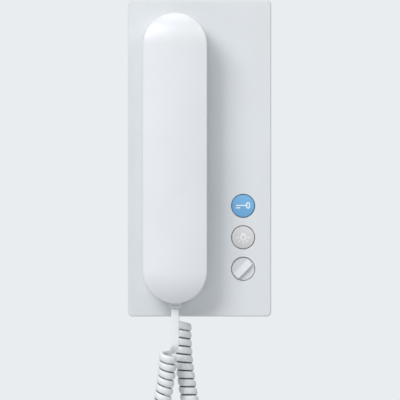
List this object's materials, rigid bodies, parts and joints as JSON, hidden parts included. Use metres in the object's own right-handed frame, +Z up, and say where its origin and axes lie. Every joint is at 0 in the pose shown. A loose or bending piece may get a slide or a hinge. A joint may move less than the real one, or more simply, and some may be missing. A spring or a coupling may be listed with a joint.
{
  "type": "audio intercom handset",
  "caption": "Wall-hung in-house telephone with a lift-off handset, curly cord, door-release key, light key and rotary volume knob.",
  "frame": {"origin": "centre of the wall base's rear face, on the wall", "axes": "+Z up the wall along the telephone's long side, +X right as seen from the front, +Y into the wall; the telephone stands out to -Y"},
  "size_m": [0.091, 0.046, 0.4065],
  "materials": {
    "cover_plastic": "fine satin",
    "handset_plastic": "satin gloss",
    "blue_key_plastic": "satin",
    "grey_key_plastic": "satin",
    "knob_plastic": "satin",
    "symbol_plastic": "gloss",
    "grey_inner_plastic": "matt",
    "black_plastic": "matt",
    "terminal_plastic": "matt",
    "board_laminate": "semi gloss",
    "plated_steel": "zinc plated",
    "black_rubber": "soft matt",
    "wire_insulation": "smooth",
    "plug_plastic": "smooth",
    "cord_jacket": "soft smooth"
  },
  "bodies": {
    "root": {"wall_base": "grey_inner_plastic", "front_cover": "cover_plastic", "keeper_plate": "plated_steel", "circuit_board": "board_laminate", "board_screws": "plated_steel", "terminal_block": "terminal_plastic", "terminal_screws": "plated_steel", "board_components": "black_plastic", "call_speaker": "black_plastic", "speaker_ring": "grey_inner_plastic", "door_key_switch": "black_plastic", "light_key_switch": "black_plastic", "volume_switch": "black_plastic", "hook_spring": "plated_steel", "hook_switch": "black_plastic", "speaker_wires": "wire_insulation", "base_jack": "black_plastic", "cord_plug_base": "plug_plastic", "cord_coil": "cord_jacket"},
    "handset": {"handset_front_shell": "handset_plastic", "handset_back_shell": "handset_plastic", "handset_screws": "plated_steel", "handset_magnet": "plated_steel", "handset_board": "board_laminate", "earpiece": "black_plastic", "earpiece_foam": "black_rubber", "microphone": "plated_steel", "microphone_boot": "black_rubber", "earpiece_wires": "wire_insulation", "handset_jack": "black_plastic", "cord_plug_handset": "plug_plastic", "cord_lead": "cord_jacket"},
    "door_key": {"door_key": "blue_key_plastic", "door_key_symbol": "symbol_plastic"},
    "light_key": {"light_key": "grey_key_plastic", "light_key_symbol": "symbol_plastic"},
    "volume_knob": {"volume_knob": "knob_plastic", "volume_shaft": "grey_inner_plastic"},
    "hook_plunger": {"hook_plunger": "handset_plastic"}
  },
  "joints": [
    {"name": "handset_lift", "type": "slide", "parent": "root", "child": "handset", "axis": [0, -1, 0], "range_m": [0, 0.04]},
    {"name": "door_key_press", "type": "slide", "parent": "root", "child": "door_key", "axis": [0, 1, 0], "range_m": [0, 0.0012], "stiffness_N_per_m": 900, "springref_m": -0.0012},
    {"name": "light_key_press", "type": "slide", "parent": "root", "child": "light_key", "axis": [0, 1, 0], "range_m": [0, 0.0012], "stiffness_N_per_m": 900, "springref_m": -0.0012},
    {"name": "volume_turn", "type": "hinge", "parent": "root", "child": "volume_knob", "pos_m": [0.0277, -0.02, -0.0702], "axis": [0, 1, 0], "range_deg": [-90, 90]},
    {"name": "hook_plunger_travel", "type": "slide", "parent": "root", "child": "hook_plunger", "axis": [0, -1, 0], "range_m": [0, 0.0025]}
  ],
  "couplings": [
    {"joint": "hook_plunger_travel", "follows": "handset_lift", "ratio": 0.0625}
  ]
}
